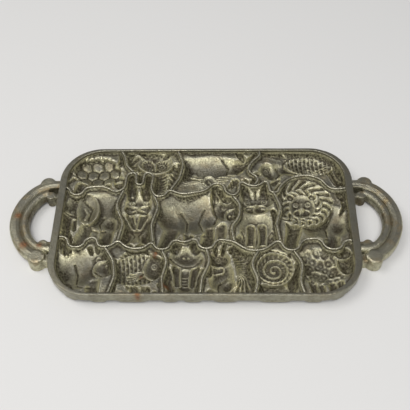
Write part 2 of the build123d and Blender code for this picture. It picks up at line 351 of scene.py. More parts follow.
def reached_from(start, free):
    """The part of the free ground that joins on to the start."""
    reached = start & free
    count = 0
    while reached.sum() > count:
        count = reached.sum()
        reached = grown(reached) & free
    return reached


def by_hand(x, y):
    """Places that wander a little from where they were drawn, as in a hand-carved pattern. The lengths of the
    waves share no measure, so nothing repeats."""
    return (
        x + HAND_WANDER * (np.sin(y / 6.3 + 0.7) + 0.6 * np.sin(x / 4.1 + y / 9.7)),
        y + HAND_WANDER * (np.sin(x / 7.1 + 2.1) + 0.6 * np.sin(y / 4.7 - x / 8.9)),
    )


def uneven(x, y):
    """The low waves of a hand-worked surface."""
    waves = np.sin(x / 3.7 + 0.4 * y) + np.sin(y / 3.1 - 0.23 * x + 1) + np.sin(x / 2.3 + y / 2.9 + 2)
    return UNEVENNESS * waves


def turned(x, y, degrees):
    """Places measured along and across a direction."""
    c, s = math.cos(math.radians(degrees)), math.sin(math.radians(degrees))
    return x * c + y * s, y * c - x * s


class Cavity:
    """The ground of one cavity, as a grid of depths that forms are pressed into. Places are shares of its
    half length and half width from its middle. Turns are degrees."""

    def __init__(self, name, walls, floor):
        low, high = (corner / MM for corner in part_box(f"floor_{name}"))
        self.columns = math.ceil((high.x - low.x) / PITCH) + 2 * EDGE_STEPS
        self.rows = math.ceil((high.y - low.y) / PITCH) + 2 * EDGE_STEPS
        centre = (low + high) / 2
        across = (np.arange(self.columns + 1) - self.columns / 2) * PITCH + centre.x
        along = (np.arange(self.rows + 1) - self.rows / 2) * PITCH + centre.y
        self.real_x, self.real_y = np.meshgrid(across, along)
        self.x, self.y = by_hand(self.real_x, self.real_y)
        self.middle = (centre.x, centre.y)
        self.half = ((high.x - low.x) / 2, (high.y - low.y) / 2)
        self.depth = GROUND + uneven(self.x, self.y)
        self.gap = self.measure_gap(walls)
        self.shown = self.find_ground(floor)

    def measure_gap(self, walls):
        """The distance to the nearest wall, less than nothing inside it."""
        gap = np.empty(self.real_x.shape)
        for k, (x, y) in enumerate(zip(self.real_x.flat, self.real_y.flat)):
            covered = walls.ray_cast(Vector((x, y, 2 * RIM_TOP)) * MM, DOWN)[0]
            distance = walls.find_nearest(Vector((x, y, WALL_GAUGE_Z)) * MM)[3] / MM
            gap.flat[k] = -distance if covered else distance
        return gap

    def find_ground(self, floor):
        """Where the relief lies: the open ground over this floor, and a little way into the walls."""
        free = self.gap > 0
        start = np.zeros(self.x.shape, bool)
        for k in np.flatnonzero(free)[::START_STRIDE]:
            above = Vector((self.real_x.flat[k], self.real_y.flat[k], RIM_TOP)) * MM
            place = floor.ray_cast(above, DOWN)[0]
            start.flat[k] = place is not None and place.z / MM > FLOOR_BASE + FLOOR_SKIN
        ground = reached_from(start, free)
        for _ in range(EDGE_STEPS):
            ground = grown(ground)
        return ground & (self.gap > -EDGE_REACH)

    def place(self, u, v):
        return self.middle[0] + u * self.half[0], self.middle[1] + v * self.half[1]

    def offsets(self, u, v):
        """How far each point lies from a place, along X and along Y."""
        cx, cy = self.place(u, v)
        return self.x - cx, self.y - cy

    def press(self, inside, profile):
        """Sinks a form whose signed distance inside its outline and whose depth are given."""
        share = rise(inside / FORM_EDGE + 0.5)
        self.depth += (profile - self.depth) * share
        return share

    def oval(self, u, v, length, width, rim, crown, turn=0, fullness=0.6):
        """An oval form that falls from the rim's depth to the crown's."""
        px, py = turned(*self.offsets(u, v), turn)
        rho = np.hypot(px / length, py / width)
        dome = np.clip(1 - rho**2, 0, 1) ** fullness + DOME_UNEVENNESS * uneven(self.x, self.y)
        return self.press((1 - rho) * min(length, width), rim + (crown - rim) * dome)

    def reach(self, path):
        """The distance to a path of (u, v, radius) points, as a share of its radius, and the radius there."""
        best = np.full(self.x.shape, np.inf)
        radius = np.ones(self.x.shape)
        for (u0, v0, r0), (u1, v1, r1) in zip(path, path[1:]):
            ax, ay = self.place(u0, v0)
            bx, by = self.place(u1, v1)
            dx, dy = bx - ax, by - ay
            t = np.clip(((self.x - ax) * dx + (self.y - ay) * dy) / (dx * dx + dy * dy), 0, 1)
            r = r0 + (r1 - r0) * t
            rho = np.hypot(self.x - ax - t * dx, self.y - ay - t * dy) / r
            nearer = rho < best
            best = np.where(nearer, rho, best)
            radius = np.where(nearer, r, radius)
        return best, radius

    def limb(self, path, rim, crown):
        """A round form along a path, as an oval is round a place."""
        rho, radius = self.reach(path)
        dome = np.sqrt(np.clip(1 - rho**2, 0, 1))
        return self.press((1 - rho) * radius, rim + (crown - rim) * dome)

    def deepen(self, rho, crown):
        """Sinks a round-bottomed hollow that runs into its neighbours. Gives a mask of its inside."""
        hollow = crown - (crown - HOLLOW_EDGE) * rho**2
        self.depth = -filleted_min(-self.depth, -hollow, HOLLOW_FILLET)
        return rise((1 - rho) * HOLLOW_MASK_GAIN)

    def bowl(self, u, v, length, width, crown, turn=0):
        """An oval hollow for a body, a haunch or a cheek."""
        px, py = turned(*self.offsets(u, v), turn)
        return self.deepen(np.hypot(px / length, py / width), crown)

    def trough(self, path, crown):
        """A long hollow for a leg, a neck or a tail, along (u, v, radius) points."""
        return self.deepen(self.reach(path)[0], crown)

    def crease(self, path, width=1.1, fall=1.7):
        """A sharp fold."""
        self.line(path, width, -fall)

    def line(self, path, width, lift, within=1.0):
        """A fine raised line, or a scored one if lift is negative, along (u, v) points."""
        rho = self.reach([(u, v, width) for u, v in path])[0]
        self.depth -= within * lift * np.exp(-(rho**2))

    def dot(self, u, v, radius, lift):
        """A raised dot with a flat top."""
        rho = np.hypot(*self.offsets(u, v)) / radius
        self.depth -= lift * np.exp(-(rho**4))

    def eye(self, u, v, radius):
        """A raised ring round a raised pupil."""
        rho = np.hypot(*self.offsets(u, v)) / radius
        ring = EYE_RING_LIFT * np.exp(-(((rho - 1) / EYE_RING_WIDTH) ** 2))
        self.depth -= ring + PUPIL_LIFT * np.exp(-((rho / PUPIL_RADIUS) ** 2))

    def strands(self, within, u, v, count, lift, swirl=0.0, start=0.0):
        """Ridges that fan out round a place, as in a mane or a tail."""
        dx, dy = self.offsets(u, v)
        r = np.hypot(dx, dy)
        wave = np.cos(count * (np.arctan2(dy, dx) + swirl * r) + STRAND_WAVER * np.sin(STRAND_WAVE * r))
        self.depth -= within * lift * wave * rise((r - start) / STRAND_FADE)

    def grooves(self, within, turn, pitch, lift, bend=0.0):
        """Even ridges across a form, a little bowed."""
        px, py = turned(self.x, self.y, turn)
        self.depth -= within * lift * np.cos(2 * math.pi * (px + bend * np.sin(py / GROOVE_BOW)) / pitch)

    def cells(self, pitch, jitter):
        """The distances to the nearest and the second nearest of a field of staggered centres, which stray
        from their rows by this share of the pitch."""
        row = np.round(self.y / (pitch * CELL_ROW))
        first = np.full(self.x.shape, np.inf)
        second = np.full(self.x.shape, np.inf)
        for down in (-1, 0, 1):
            j = row + down
            shift = 0.5 * (j % 2)
            column = np.round(self.x / pitch - shift)
            for across in (-1, 0, 1):
                i = column + across
                wobble = jitter * pitch
                cx = (i + shift) * pitch + wobble * np.sin(12.9 * i + 7.2 * j)
                cy = j * pitch * CELL_ROW + wobble * np.sin(4.7 * i - 9.1 * j + 1)
                r = np.hypot(self.x - cx, self.y - cy)
                second = np.minimum(second, np.maximum(first, r))
                first = np.minimum(first, r)
        return first, second

    def plates(self, within, pitch, lift):
        """Domed plates with scored seams, as on a shell."""
        first, second = self.cells(pitch, PLATE_JITTER)
        self.depth += within * lift * np.exp(-(((second - first) / (PLATE_SEAM * pitch)) ** 2))
        self.depth -= within * PLATE_DOME * lift * rise(1 - 1.6 * first / pitch)

    def curls(self, within, pitch, lift):
        """Round tufts, each with a dimple, as in a fleece."""
        first = self.cells(pitch, CELL_JITTER)[0]
        tuft = np.sqrt(np.clip(1 - (first / (CURL_RADIUS * pitch)) ** 2, 0, 1))
        self.depth += within * lift * (1.1 * tuft - 0.5)
        self.depth -= within * 0.5 * lift * np.exp(-((first / (CURL_EYE * pitch)) ** 2))

    def scales(self, within, pitch, lift, turn):
        """Rows of round scales, each over the edge of the next."""
        px, py = (side / pitch for side in turned(self.x, self.y, turn))
        best = np.zeros(self.x.shape)
        for step in (0, 1):
            i = np.floor(px * SCALE_ROWS) - step + 1
            shift = 0.5 * (i % 2)
            j = np.round(py - shift)
            r = np.hypot(px - i / SCALE_ROWS, py - j - shift)
            inside = r < SCALE_RADIUS
            best = np.where(inside, 1 - (r / SCALE_RADIUS) ** 3, best * (step == 0))
        self.depth += within * lift * (best - 0.5)

    def surface(self):
        """The finished depths, with the sides that rise to the walls."""
        out = np.maximum(self.gap + SIDE_TUCK, 0)
        side = SIDE_START + SIDE_FALL * (1 - np.exp(-out / SIDE_REACH)) + SIDE_SLOPE * out
        return np.maximum(filleted_min(self.depth, side, SIDE_FILLET), SIDE_START)


def tortoise(c):
    c.trough([(-0.8, -0.2, 4), (-0.96, -0.42, 2)], 9)
    c.trough([(-0.5, -0.4, 9), (-0.62, -0.9, 7)], 12.5)
    c.trough([(0.2, -0.4, 9), (0.24, -0.9, 6.5)], 12)
    shell = c.bowl(-0.1, 0.14, 31, 24, 14.5, -4)
    inner = c.oval(-0.1, 0.18, 26, 18.5, 9, 14.5, -4, fullness=0.8)
    c.plates(inner, 13, 1.7)
    c.strands(shell - inner, -0.1, 0.1, 24, 0.7)
    c.trough([(0.5, -0.1, 8), (0.72, -0.45, 7)], 12.5)
    c.oval(0.72, -0.48, 9, 7, 7, 13.5, -30)
    c.eye(0.74, -0.4, 1.8)
    c.crease([(0.88, -0.6), (0.7, -0.66)])
    leaf = c.trough([(0.6, 0.5, 4), (0.74, 0.74, 8), (0.62, 0.98, 4)], 10.5)
    c.line([(0.56, 0.5), (0.74, 0.75), (0.64, 1)], 0.8, 1.4, leaf)


def owl(c):
    left = c.trough([(-0.1, 0.2, 10), (-0.62, 0.6, 12), (-0.9, 0.9, 6)], 13)
    c.grooves(left, 118, 5.5, 1, 1.2)
    low = c.trough([(-0.15, 0.2, 9), (-0.42, -0.4, 7)], 12)
    c.grooves(low, 80, 5, 0.9, 1)
    right = c.trough([(0.4, 0.4, 9), (0.82, 0.3, 9), (0.7, -0.5, 7)], 13)
    c.grooves(right, 60, 5.5, 1, 1.2)
    chest = c.bowl(0.22, -0.24, 16, 24, 15)
    c.scales(chest, 5.6, 1.2, -90)
    c.oval(0.1, 0.56, 20, 14, 5.5, 12.5)
    c.trough([(-0.42, 0.98, 2.5), (-0.15, 0.82, 5)], 10)
    c.trough([(0.64, 0.98, 2.5), (0.38, 0.82, 5)], 10)
    for u in (-0.13, 0.33):
        disc = c.oval(u, 0.56, 7.6, 7.6, 9.5, 13.5)
        c.strands(disc, u, 0.56, 13, 0.5, 0, 2.5)
        c.eye(u, 0.56, 3.2)
    c.limb([(0.1, 0.56, 2), (0.1, 0.34, 1)], 9, 7.5)
    for u in (0.08, 0.36):
        c.trough([(u, -0.76, 3.4), (u + 0.02, -0.98, 3)], 12)


def whale(c):
    for k in range(3):
        wave = c.trough([(0.34 + 0.22 * k, -0.62, 4), (0.46 + 0.22 * k, -0.34, 6)], 10)
        c.grooves(wave, 30, 4, 0.6)
    c.trough([(0.75, 0.6, 5), (0.98, 0.92, 5)], 11.5)
    c.trough([(0.72, 0.62, 5), (0.56, 0.98, 5)], 11.5)
    body = c.trough([(-0.6, 0.16, 22), (-0.1, 0.14, 24), (0.4, 0.36, 14), (0.76, 0.62, 6)], 15)
    rho, radius = c.reach([(-0.85, -0.16, 12), (-0.1, -0.42, 14), (0.35, 0, 7)])
    belly = rise((1 - rho) * radius / 1.2) * body
    c.grooves(belly, 88, 4.6, 1.1, 1.5)
    c.crease([(-0.98, 0.1), (-0.75, -0.04), (-0.42, -0.08)], 1.2, 2)
    c.eye(-0.52, 0.14, 2.4)
    fin = c.limb([(-0.18, -0.15, 7), (0.02, -0.55, 5), (0.14, -0.78, 2)], 8.5, 13)
    c.line([(-0.18, -0.15), (0.02, -0.55), (0.12, -0.75)], 0.9, 1.1, fin)
    c.crease([(0.1, 0.8), (0.3, 0.5), (0.24, 0.2)], 1.1, 1.2)


def duck(c):
    for u, v in ((-0.5, -0.5), (-0.42, -0.84)):
        c.trough([(u, v, 5), (u + 0.08, v + 0.22, 5)], 9.5)
    tail = c.trough([(0.55, 0.35, 12), (0.8, 0.1, 10), (0.88, -0.5, 7)], 13)
    c.grooves(tail, 20, 5.5, 1.2, 1.5)
    c.trough([(-0.55, -0.02, 11), (-0.35, 0.3, 12), (0, 0.4, 16)], 13.5)
    body = c.bowl(0.18, 0.44, 42, 21, 15, -2)
    wing = c.oval(0.26, 0.42, 27, 12.5, 8.5, 14, -6, fullness=0.8)
    c.scales(wing, 6.4, 1.3, 180)
    for k in range(4):
        c.line([(0.2, 0.06 + 0.09 * k), (0.45, -0.04 + 0.12 * k), (0.66, 0.1 + 0.12 * k)], 0.9, 1.4, body)
    c.trough([(-0.74, 0, 5.5), (-0.96, -0.14, 4.4)], 11)
    c.crease([(-0.72, -0.02), (-0.98, -0.14)])
    c.bowl(-0.6, 0.12, 13.5, 12.5, 14.5)
    c.eye(-0.66, 0.22, 2.2)
    c.crease([(-0.44, -0.14), (-0.36, 0.1), (-0.42, 0.38)], 1.3, 1.6)
    reed = c.trough([(-0.2, 0.8, 4), (-0.5, 0.92, 6), (-0.78, 0.88, 3)], 10.5)
    c.line([(-0.2, 0.8), (-0.5, 0.9), (-0.75, 0.86)], 0.8, 1.2, reed)


def elephant(c):
    c.trough([(0.84, 0.4, 3.4), (0.9, -0.1, 3), (0.84, -0.3, 4)], 9)
    c.trough([(0.1, -0.3, 9), (0.14, -0.66, 7.5)], 11)
    c.trough([(0.5, -0.3, 11), (0.5, -0.94, 9)], 13.5)
    c.trough([(-0.12, -0.3, 10.5), (-0.4, -0.98, 8.5)], 13.5)
    c.bowl(0.24, 0.18, 27, 30, 15)
    c.bowl(0.52, -0.1, 14, 20, 15, 8)
    c.crease([(0.02, -0.36), (0.25, -0.44), (0.42, -0.34)], 1.2, 1.6)
    c.crease([(0.3, -0.36), (0.24, -0.1), (0.36, 0.14)], 1.2, 1.3)
    trunk = c.trough([(-0.6, 0.3, 11), (-0.82, -0.1, 7.6), (-0.84, -0.5, 5.6), (-0.64, -0.74, 4.4)], 13)
    c.grooves(trunk, 82, 4.2, 0.6)
    c.limb([(-0.6, -0.02, 3), (-0.56, -0.4, 1.8)], 7, 11)
    c.bowl(-0.54, 0.4, 16, 19, 14)
    c.eye(-0.7, 0.34, 2)
    ear = c.oval(-0.2, 0.34, 12.5, 20, 6.5, 12.5, 8, fullness=0.8)
    c.crease([(-0.34, 0.66), (-0.06, 0.4), (-0.12, 0)], 1.2, 1.5)
    c.line([(-0.3, 0.44), (-0.18, 0.24), (-0.24, 0.04)], 1.2, 1.3, ear)


def rabbit(c):
    for u, tip in ((-0.4, -0.43), (0.42, 0.45)):
        c.trough([(u * 0.8, 0.4, 8), (u, 0.66, 6.5), (tip, 0.95, 4)], 12.5)
        c.line([(u * 0.9, 0.48), (tip, 0.88)], 1.6, 1.8)
    c.bowl(0, -0.36, 21, 26, 14.5)
    for side in (-1, 1):
        c.bowl(side * 0.5, -0.62, 11, 15, 14.5, side * 12)
        c.crease([(side * 0.2, -0.8), (side * 0.12, -0.58), (side * 0.4, -0.42)], 1.1, 1.5)
        c.trough([(side * 0.5, -0.88, 6), (side * 0.24, -0.96, 5)], 12.5)
        c.limb([(side * 0.34, -0.1, 5), (side * 0.14, -0.36, 4)], 8, 13.5)
    c.bowl(0, 0.2, 17, 17, 14.5)
    for side in (-1, 1):
        c.oval(side * 0.32, 0.09, 8, 7, 9.5, 14)
        c.eye(side * 0.34, 0.3, 2.2)
        for k in (-1, 0, 1):
            c.line([(side * 0.14, 0.1), (side * 0.66, 0.1 + 0.05 * k)], 0.6, 0.9)
    c.dot(0, 0.14, 2, 2.4)
    c.crease([(0, 0.12), (0, 0.03)])


def pig(c):
    tail = [(-0.82, 0.12, 2.6), (-0.94, 0.26, 2.4), (-0.99, 0.1, 2.2), (-0.9, 0, 2)]
    c.trough(tail, 9)
    c.trough([(-0.2, -0.35, 9), (-0.16, -0.7, 7)], 11)
    c.trough([(0.55, -0.3, 9), (0.58, -0.7, 7)], 11)
    c.trough([(-0.55, -0.3, 12), (-0.72, -0.95, 8)], 14)
    c.trough([(0.3, -0.3, 11), (0.3, -0.96, 8)], 14)
    c.bowl(-0.14, 0.1, 42, 31, 15.5)
    c.bowl(-0.55, 0, 19, 25, 15.5, 10)
    c.crease([(-0.24, -0.34), (-0.2, -0.02), (-0.36, 0.26)], 1.3, 1.6)
    c.crease([(-0.28, -0.5), (0, -0.56), (0.18, -0.48)], 1.3, 1.5)
    c.bowl(0.3, 0, 16, 21, 14.8, -8)
    c.crease([(0.14, -0.34), (0.06, 0), (0.18, 0.36)], 1.3, 1.4)
    c.trough([(0.44, 0.5, 9), (0.47, 0.96, 5)], 13)
    c.bowl(0.6, 0.3, 20, 20, 15)
    c.limb([(0.7, 0.64, 7), (0.54, 0.86, 3)], 7, 12)
    c.crease([(0.36, 0.62), (0.4, 0.4), (0.5, 0.1), (0.44, -0.1)], 1.3, 1.6)
    c.line([(0.46, 0.6), (0.48, 0.88)], 1.6, 1.6)
    c.eye(0.66, 0.44, 2.3)
    c.oval(0.85, 0.14, 8, 9, 9, 14)
    c.dot(0.82, 0.15, 1.6, 2.4)
    c.dot(0.9, 0.16, 1.6, 2.4)
    c.crease([(0.58, 0.04), (0.68, -0.06), (0.82, -0.08)], 1.2, 1.8)


def cat(c):
    tail = c.trough([(0.5, -0.7, 5), (0.84, -0.45, 6), (0.9, -0.1, 5.4), (0.78, 0.2, 4)], 11.5)
    c.grooves(tail, 100, 5, 0.7)
    for side in (-1, 1):
        c.trough([(side * 0.36, 0.62, 9), (side * 0.54, 0.98, 3.4)], 12.5)
        c.line([(side * 0.4, 0.68), (side * 0.5, 0.9)], 1.8, 1.6)
    c.bowl(0, -0.38, 21, 30, 14.5)
    for side in (-1, 1):
        c.bowl(side * 0.54, -0.68, 11, 15, 13.5, side * 20)
        c.crease([(side * 0.44, -0.9), (side * 0.4, -0.62), (side * 0.66, -0.4)], 1.2, 1.5)
        c.limb([(side * 0.24, -0.26, 5.6), (side * 0.27, -0.84, 5)], 8, 14)
        c.limb([(side * 0.28, -0.88, 5.6), (side * 0.34, -0.93, 5.2)], 8.5, 13.5)
        for k in (-1, 0, 1):
            c.crease([(side * 0.28 + 0.08 * k, -0.88), (side * 0.3 + 0.09 * k, -0.97)], 0.9, 1.4)
    c.bowl(0, 0.46, 22, 20, 14.5)
    for side in (-1, 1):
        c.oval(side * 0.2, 0.32, 7.4, 6, 10, 14)
        c.eye(side * 0.38, 0.54, 2.8)
        for k in (-1, 0, 1):
            c.line([(side * 0.24, 0.34), (side * 0.8, 0.32 + 0.06 * k)], 0.6, 1)
    c.dot(0, 0.42, 2, 2.4)
    for u in (-0.2, 0, 0.2):
        c.crease([(u, 0.66), (u * 1.4, 0.82)], 1.1, 1.4)


def lion(c):
    c.trough([(0.7, -0.1, 4), (0.92, 0.15, 3.6), (0.88, 0.4, 3.4)], 10)
    tuft = c.oval(0.86, 0.52, 5.6, 9, 6, 11.5, 10)
    c.strands(tuft, 0.84, 0.3, 26, 0.8)
    c.trough([(0.1, -0.4, 9), (0.12, -0.72, 7)], 11)
    c.trough([(0.5, -0.4, 13), (0.46, -0.97, 9)], 14)
    c.trough([(-0.5, -0.3, 11), (-0.66, -0.97, 8)], 14)
    c.bowl(0.3, -0.24, 33, 27, 15, -8)
    c.bowl(0.62, -0.28, 15, 20, 15)
    c.crease([(0.36, -0.52), (0.34, -0.28), (0.5, -0.08)], 1.3, 1.6)
    c.crease([(0.08, -0.58), (0.26, -0.64), (0.38, -0.58)], 1.3, 1.5)
    mane = c.oval(-0.22, 0.3, 32, 31, 5.5, 13.5, fullness=0.8)
    c.strands(mane, -0.24, 0.26, 19, 1.3, 0.02, 10)
    collar = c.oval(-0.24, 0.28, 22, 22, 8, 13)
    c.strands(collar, -0.24, 0.26, 14, 1.1, -0.03, 6)
    c.oval(-0.25, 0.25, 14.5, 16, 8.5, 14)
    for side in (-1, 1):
        c.oval(-0.25 + side * 0.3, 0.52, 5, 5, 8, 12.5)
        c.dot(-0.25 + side * 0.3, 0.52, 2, 1.6)
        c.eye(-0.25 + side * 0.16, 0.34, 2.4)
        c.oval(-0.25 + side * 0.1, 0.1, 5.4, 4.8, 11, 14.5)
    c.line([(-0.25, 0.36), (-0.25, 0.2)], 2.6, 1.6)
    c.dot(-0.25, 0.16, 2.8, 2.4)
    c.crease([(-0.25, 0.14), (-0.25, 0.03)], 1.1, 1.4)


def hippo(c):
    c.trough([(-0.92, -0.05, 2.6), (-0.98, 0.12, 2.6)], 9)
    c.trough([(-0.5, -0.5, 11), (-0.5, -0.84, 8)], 12.5)
    c.trough([(0.3, -0.5, 11), (0.34, -0.94, 8)], 12.5)
    c.bowl(-0.16, -0.08, 31, 26, 15.5)
    c.bowl(-0.5, -0.1, 15, 21, 15)
    c.crease([(-0.22, -0.5), (-0.26, -0.1), (-0.4, 0.2)], 1.3, 1.5)
    c.crease([(-0.15, -0.64), (0.08, -0.7), (0.28, -0.64)], 1.3, 1.5)
    c.bowl(0.4, 0.18, 15, 17, 14.5, 20)
    c.oval(0.64, -0.02, 12, 11, 7.5, 14, -10)
    c.crease([(0.38, -0.14), (0.62, -0.24), (0.9, -0.12)], 1.3, 2)
    c.dot(0.72, 0.14, 1.6, 2.2)
    c.dot(0.86, 0.08, 1.6, 2.2)
    c.eye(0.42, 0.36, 2.5)
    c.trough([(0.18, 0.52, 4), (0.12, 0.68, 3.4)], 12)
    c.trough([(0.4, 0.58, 4), (0.4, 0.76, 3.2)], 12)
    grass = c.trough([(-0.68, 0.6, 7), (-0.8, 0.92, 6)], 10.5)
    c.grooves(grass, 0, 3.8, 0.9, 1)


def fish(c):
    tail = c.trough([(-0.6, -0.2, 6), (-0.88, 0.24, 9)], 12.5)
    tail = np.maximum(tail, c.trough([(-0.6, -0.2, 6), (-0.86, -0.74, 9)], 12.5))
    c.strands(tail, -0.3, -0.1, 26, 0.9)
    top = c.trough([(-0.3, 0.4, 9), (0.1, 0.7, 10), (0.46, 0.46, 6)], 11.5)
    low = c.trough([(-0.1, -0.5, 9), (0.1, -0.88, 8), (0.44, -0.8, 5)], 11.5)
    c.strands(np.maximum(top, low), 0, 0, 28, 0.9)
    body = c.oval(0.06, 0, 28, 19, 6.5, 15, 8, fullness=0.7)
    c.scales(body, 6, 1.4, 188)
    c.oval(0.62, 0.12, 12, 14, 8, 14.5, 8)
    c.eye(0.62, 0.28, 2.8)
    c.crease([(1, 0.06), (0.82, -0.04)], 1.2, 2)
    fin = c.limb([(0.2, -0.1, 4), (-0.08, -0.22, 6.4)], 10, 13.5)
    c.strands(fin, 0.3, -0.05, 26, 0.8)
    for u, v, r in ((0.82, 0.74, 4), (0.62, 0.9, 3), (0.88, -0.62, 4.4), (0.7, -0.9, 3)):
        c.bowl(u, v, r, r, 8.5)


def frog(c):
    for side in (-1, 1):
        c.trough([(side * 0.35, -0.3, 10), (side * 0.8, -0.2, 8)], 12.5)
        c.trough([(side * 0.82, -0.2, 7), (side * 0.6, -0.76, 5.6)], 13)
        for k in (-1, 0, 1):
            c.trough([(side * 0.6, -0.76, 3.4), (side * (0.62 + 0.18 * k), -0.98, 2.6)], 10.5)
    c.bowl(0, -0.28, 18, 26, 14.5)
    c.oval(0, -0.36, 11, 14, 10, 14.5)
    for k in range(4):
        c.line([(-0.34, -0.2 - 0.12 * k), (0, -0.24 - 0.12 * k), (0.34, -0.2 - 0.12 * k)], 0.8, 0.9)
    for side in (-1, 1):
        c.limb([(side * 0.42, 0, 5), (side * 0.34, -0.56, 3.8)], 8, 13.5)
        c.trough([(side * 0.42, 0.72, 8), (side * 0.44, 0.86, 7)], 12.5)
        c.eye(side * 0.42, 0.76, 3.2)
    c.bowl(0, 0.4, 21, 15, 14.5)
    c.crease([(-0.7, 0.38), (-0.34, 0.2), (0, 0.16), (0.34, 0.2), (0.7, 0.38)], 1.4, 2.2)
    c.dot(-0.1, 0.52, 1.2, 1.6)
    c.dot(0.1, 0.52, 1.2, 1.6)


def squirrel(c):
    brush = [(0.1, -0.9, 8), (0.6, -0.74, 11), (0.74, -0.1, 14), (0.5, 0.46, 12), (0.2, 0.7, 7)]
    brush = c.trough(brush, 13.5)
    c.strands(brush, 0.2, -0.1, 23, 1.3, 0.05, 4)
    c.trough([(-0.3, -0.84, 6), (-0.72, -0.92, 5)], 12)
    c.bowl(-0.28, -0.36, 15, 25, 15)
    c.bowl(-0.12, -0.58, 11, 14, 15)
    c.crease([(-0.4, -0.8), (-0.38, -0.5), (-0.12, -0.3)], 1.2, 1.6)
    c.bowl(-0.36, 0.34, 12.5, 13, 14.5)
    c.trough([(-0.26, 0.6, 4.4), (-0.14, 0.88, 2.6)], 11.5)
    c.trough([(-0.5, 0.6, 4), (-0.52, 0.86, 2.4)], 11)
    c.eye(-0.44, 0.44, 2.4)
    c.dot(-0.76, 0.26, 1.6, 2.2)
    c.limb([(-0.34, 0, 4.2), (-0.66, -0.08, 3.2)], 8.5, 13)
    nut = c.oval(-0.8, -0.1, 6, 7, 8, 13)
    c.plates(nut, 3.2, 0.6)


def snail(c):
    c.trough([(-0.88, -0.76, 5), (-0.2, -0.78, 9), (0.5, -0.72, 9), (0.8, -0.3, 8), (0.76, 0.08, 7)], 13.5)
    c.trough([(0.68, 0.1, 2.6), (0.56, 0.42, 2.2), (0.5, 0.56, 3)], 9.5)
    c.trough([(0.82, 0.1, 2.6), (0.86, 0.38, 2.2), (0.88, 0.5, 3)], 9.5)
    c.eye(0.78, 0, 1.6)
    shell = c.oval(-0.14, 0.08, 21, 21, 6, 14.5, fullness=0.8)
    cx, cy = c.place(-0.14, 0.06)
    r = np.hypot(c.x - cx, c.y - cy)
    coil = r / 7 + np.arctan2(c.y - cy, c.x - cx) / (2 * math.pi)
    c.depth -= shell * 2.8 * np.exp(-(((coil - np.round(coil)) / 0.13) ** 2)) * rise((21 - r) / 2)
    c.strands(shell, -0.14, 0.06, 22, 0.4, 0.04, 3)
    c.crease([(-0.86, -0.92), (-0.2, -0.98), (0.6, -0.92)], 1.1, 1)


def sheep(c):
    for u in (-0.45, 0.2):
        c.trough([(u, -0.5, 7), (u + 0.02, -0.96, 5)], 12.5)
        c.trough([(u + 0.26, -0.5, 5.6), (u + 0.28, -0.86, 4)], 11)
    c.trough([(-0.84, 0.1, 5), (-0.93, -0.24, 4)], 10.5)
    wool = c.bowl(-0.1, 0.02, 31, 25, 14.5)
    c.curls(wool, 8.4, 1.8)
    c.trough([(0.5, 0.36, 4.4), (0.34, 0.22, 3.2)], 12)
    c.trough([(0.88, 0.44, 4), (0.98, 0.3, 3)], 11)
    c.oval(0.7, 0.22, 9.5, 14, 7, 14.5, 12)
    cap = c.oval(0.64, 0.56, 9, 7, 6.5, 11.5)
    c.curls(cap, 5.6, 1.2)
    c.eye(0.63, 0.3, 2)
    c.eye(0.82, 0.28, 1.7)
    c.dot(0.78, 0.02, 2, 2)


ANIMALS = [tortoise, owl, whale, duck, elephant, rabbit, pig, cat, lion, hippo, fish, frog, squirrel, snail,
           sheep]


def relief_mesh(name, cavity):
    """The relief of one cavity as a closed piece, with its worn ridges, and the dirt and painted shade of its
    creases and hollows, kept on its points.
    """
    depth = cavity.surface()
    fine = depth - softened(depth, FINE_REACH)
    broad = depth - softened(depth, BROAD_REACH)
    from_wall = cavity.gap / WALL_REACH
    # Wear on ridges; grime and painted shade in creases; painted shade in broad hollows, deep down and beside
    # the walls
    wear_and_highlight = np.clip(-WEAR_GAIN * fine - WEAR_START, 0, WEAR_LIMIT) * rise(from_wall)
    grime_and_shade = np.clip(FINE_GRIME_AND_SHADE * fine - FINE_GRIME_AND_SHADE_START, 0, 1)
    grime_and_shade += np.clip(BROAD_PAINTED_SHADE * broad, 0, BROAD_PAINTED_SHADE_LIMIT)
    grime_and_shade += DEEP_PAINTED_SHADE * np.clip(depth - DEEP_START, 0, DEEP_REACH)
    grime_and_shade += WALL_PAINTED_SHADE * np.clip(1 - from_wall, 0, 1)
    top = RIM_TOP - depth
    base = FLOOR_BASE + UNDERSIDE_TUCK - np.clip(cavity.gap + EDGE_REACH, 0, 1)
    under = np.minimum(base, softened(top, UNDERSIDE_REACH) - IRON_THICKNESS)
    bm = bmesh.new()
    bmesh.ops.create_grid(bm, x_segments=cavity.columns, y_segments=cavity.rows, size=0.5)
    spot = bm.verts.layers.int.new("spot")
    wear_layer = bm.verts.layers.float.new("wear_and_highlight")
    grime_and_shade_layer = bm.verts.layers.float.new("grime_and_shade")
    for v in bm.verts:
        column = round((v.co.x + 0.5) * cavity.columns)
        row = round((v.co.y + 0.5) * cavity.rows)
        k = row * (cavity.columns + 1) + column
        v[spot] = k
        v[wear_layer] = wear_and_highlight.flat[k]
        v[grime_and_shade_layer] = min(grime_and_shade.flat[k], 1)
        v.co = Vector((cavity.real_x.flat[k], cavity.real_y.flat[k], top.flat[k])) * MM
    hidden = [v for v in bm.verts if not cavity.shown.flat[v[spot]]]
    bmesh.ops.delete(bm, geom=hidden, context="VERTS")
    bmesh.ops.delete(bm, geom=[v for v in bm.verts if not v.link_faces], context="VERTS")
    back = bmesh.ops.extrude_face_region(bm, geom=bm.faces[:])["geom"]
    for v in back:
        if isinstance(v, bmesh.types.BMVert):
            v.co.z = under.flat[v[spot]] * MM
            v[wear_layer] = 0
            # Painted shade on the underside
            v[grime_and_shade_layer] = UNDERSIDE_PAINTED_SHADE
    bmesh.ops.recalc_face_normals(bm, faces=bm.faces[:])
    bm.verts.layers.int.remove(spot)
    mesh = mesh_from(bm, name)
    mesh.shade_smooth()
    return mesh


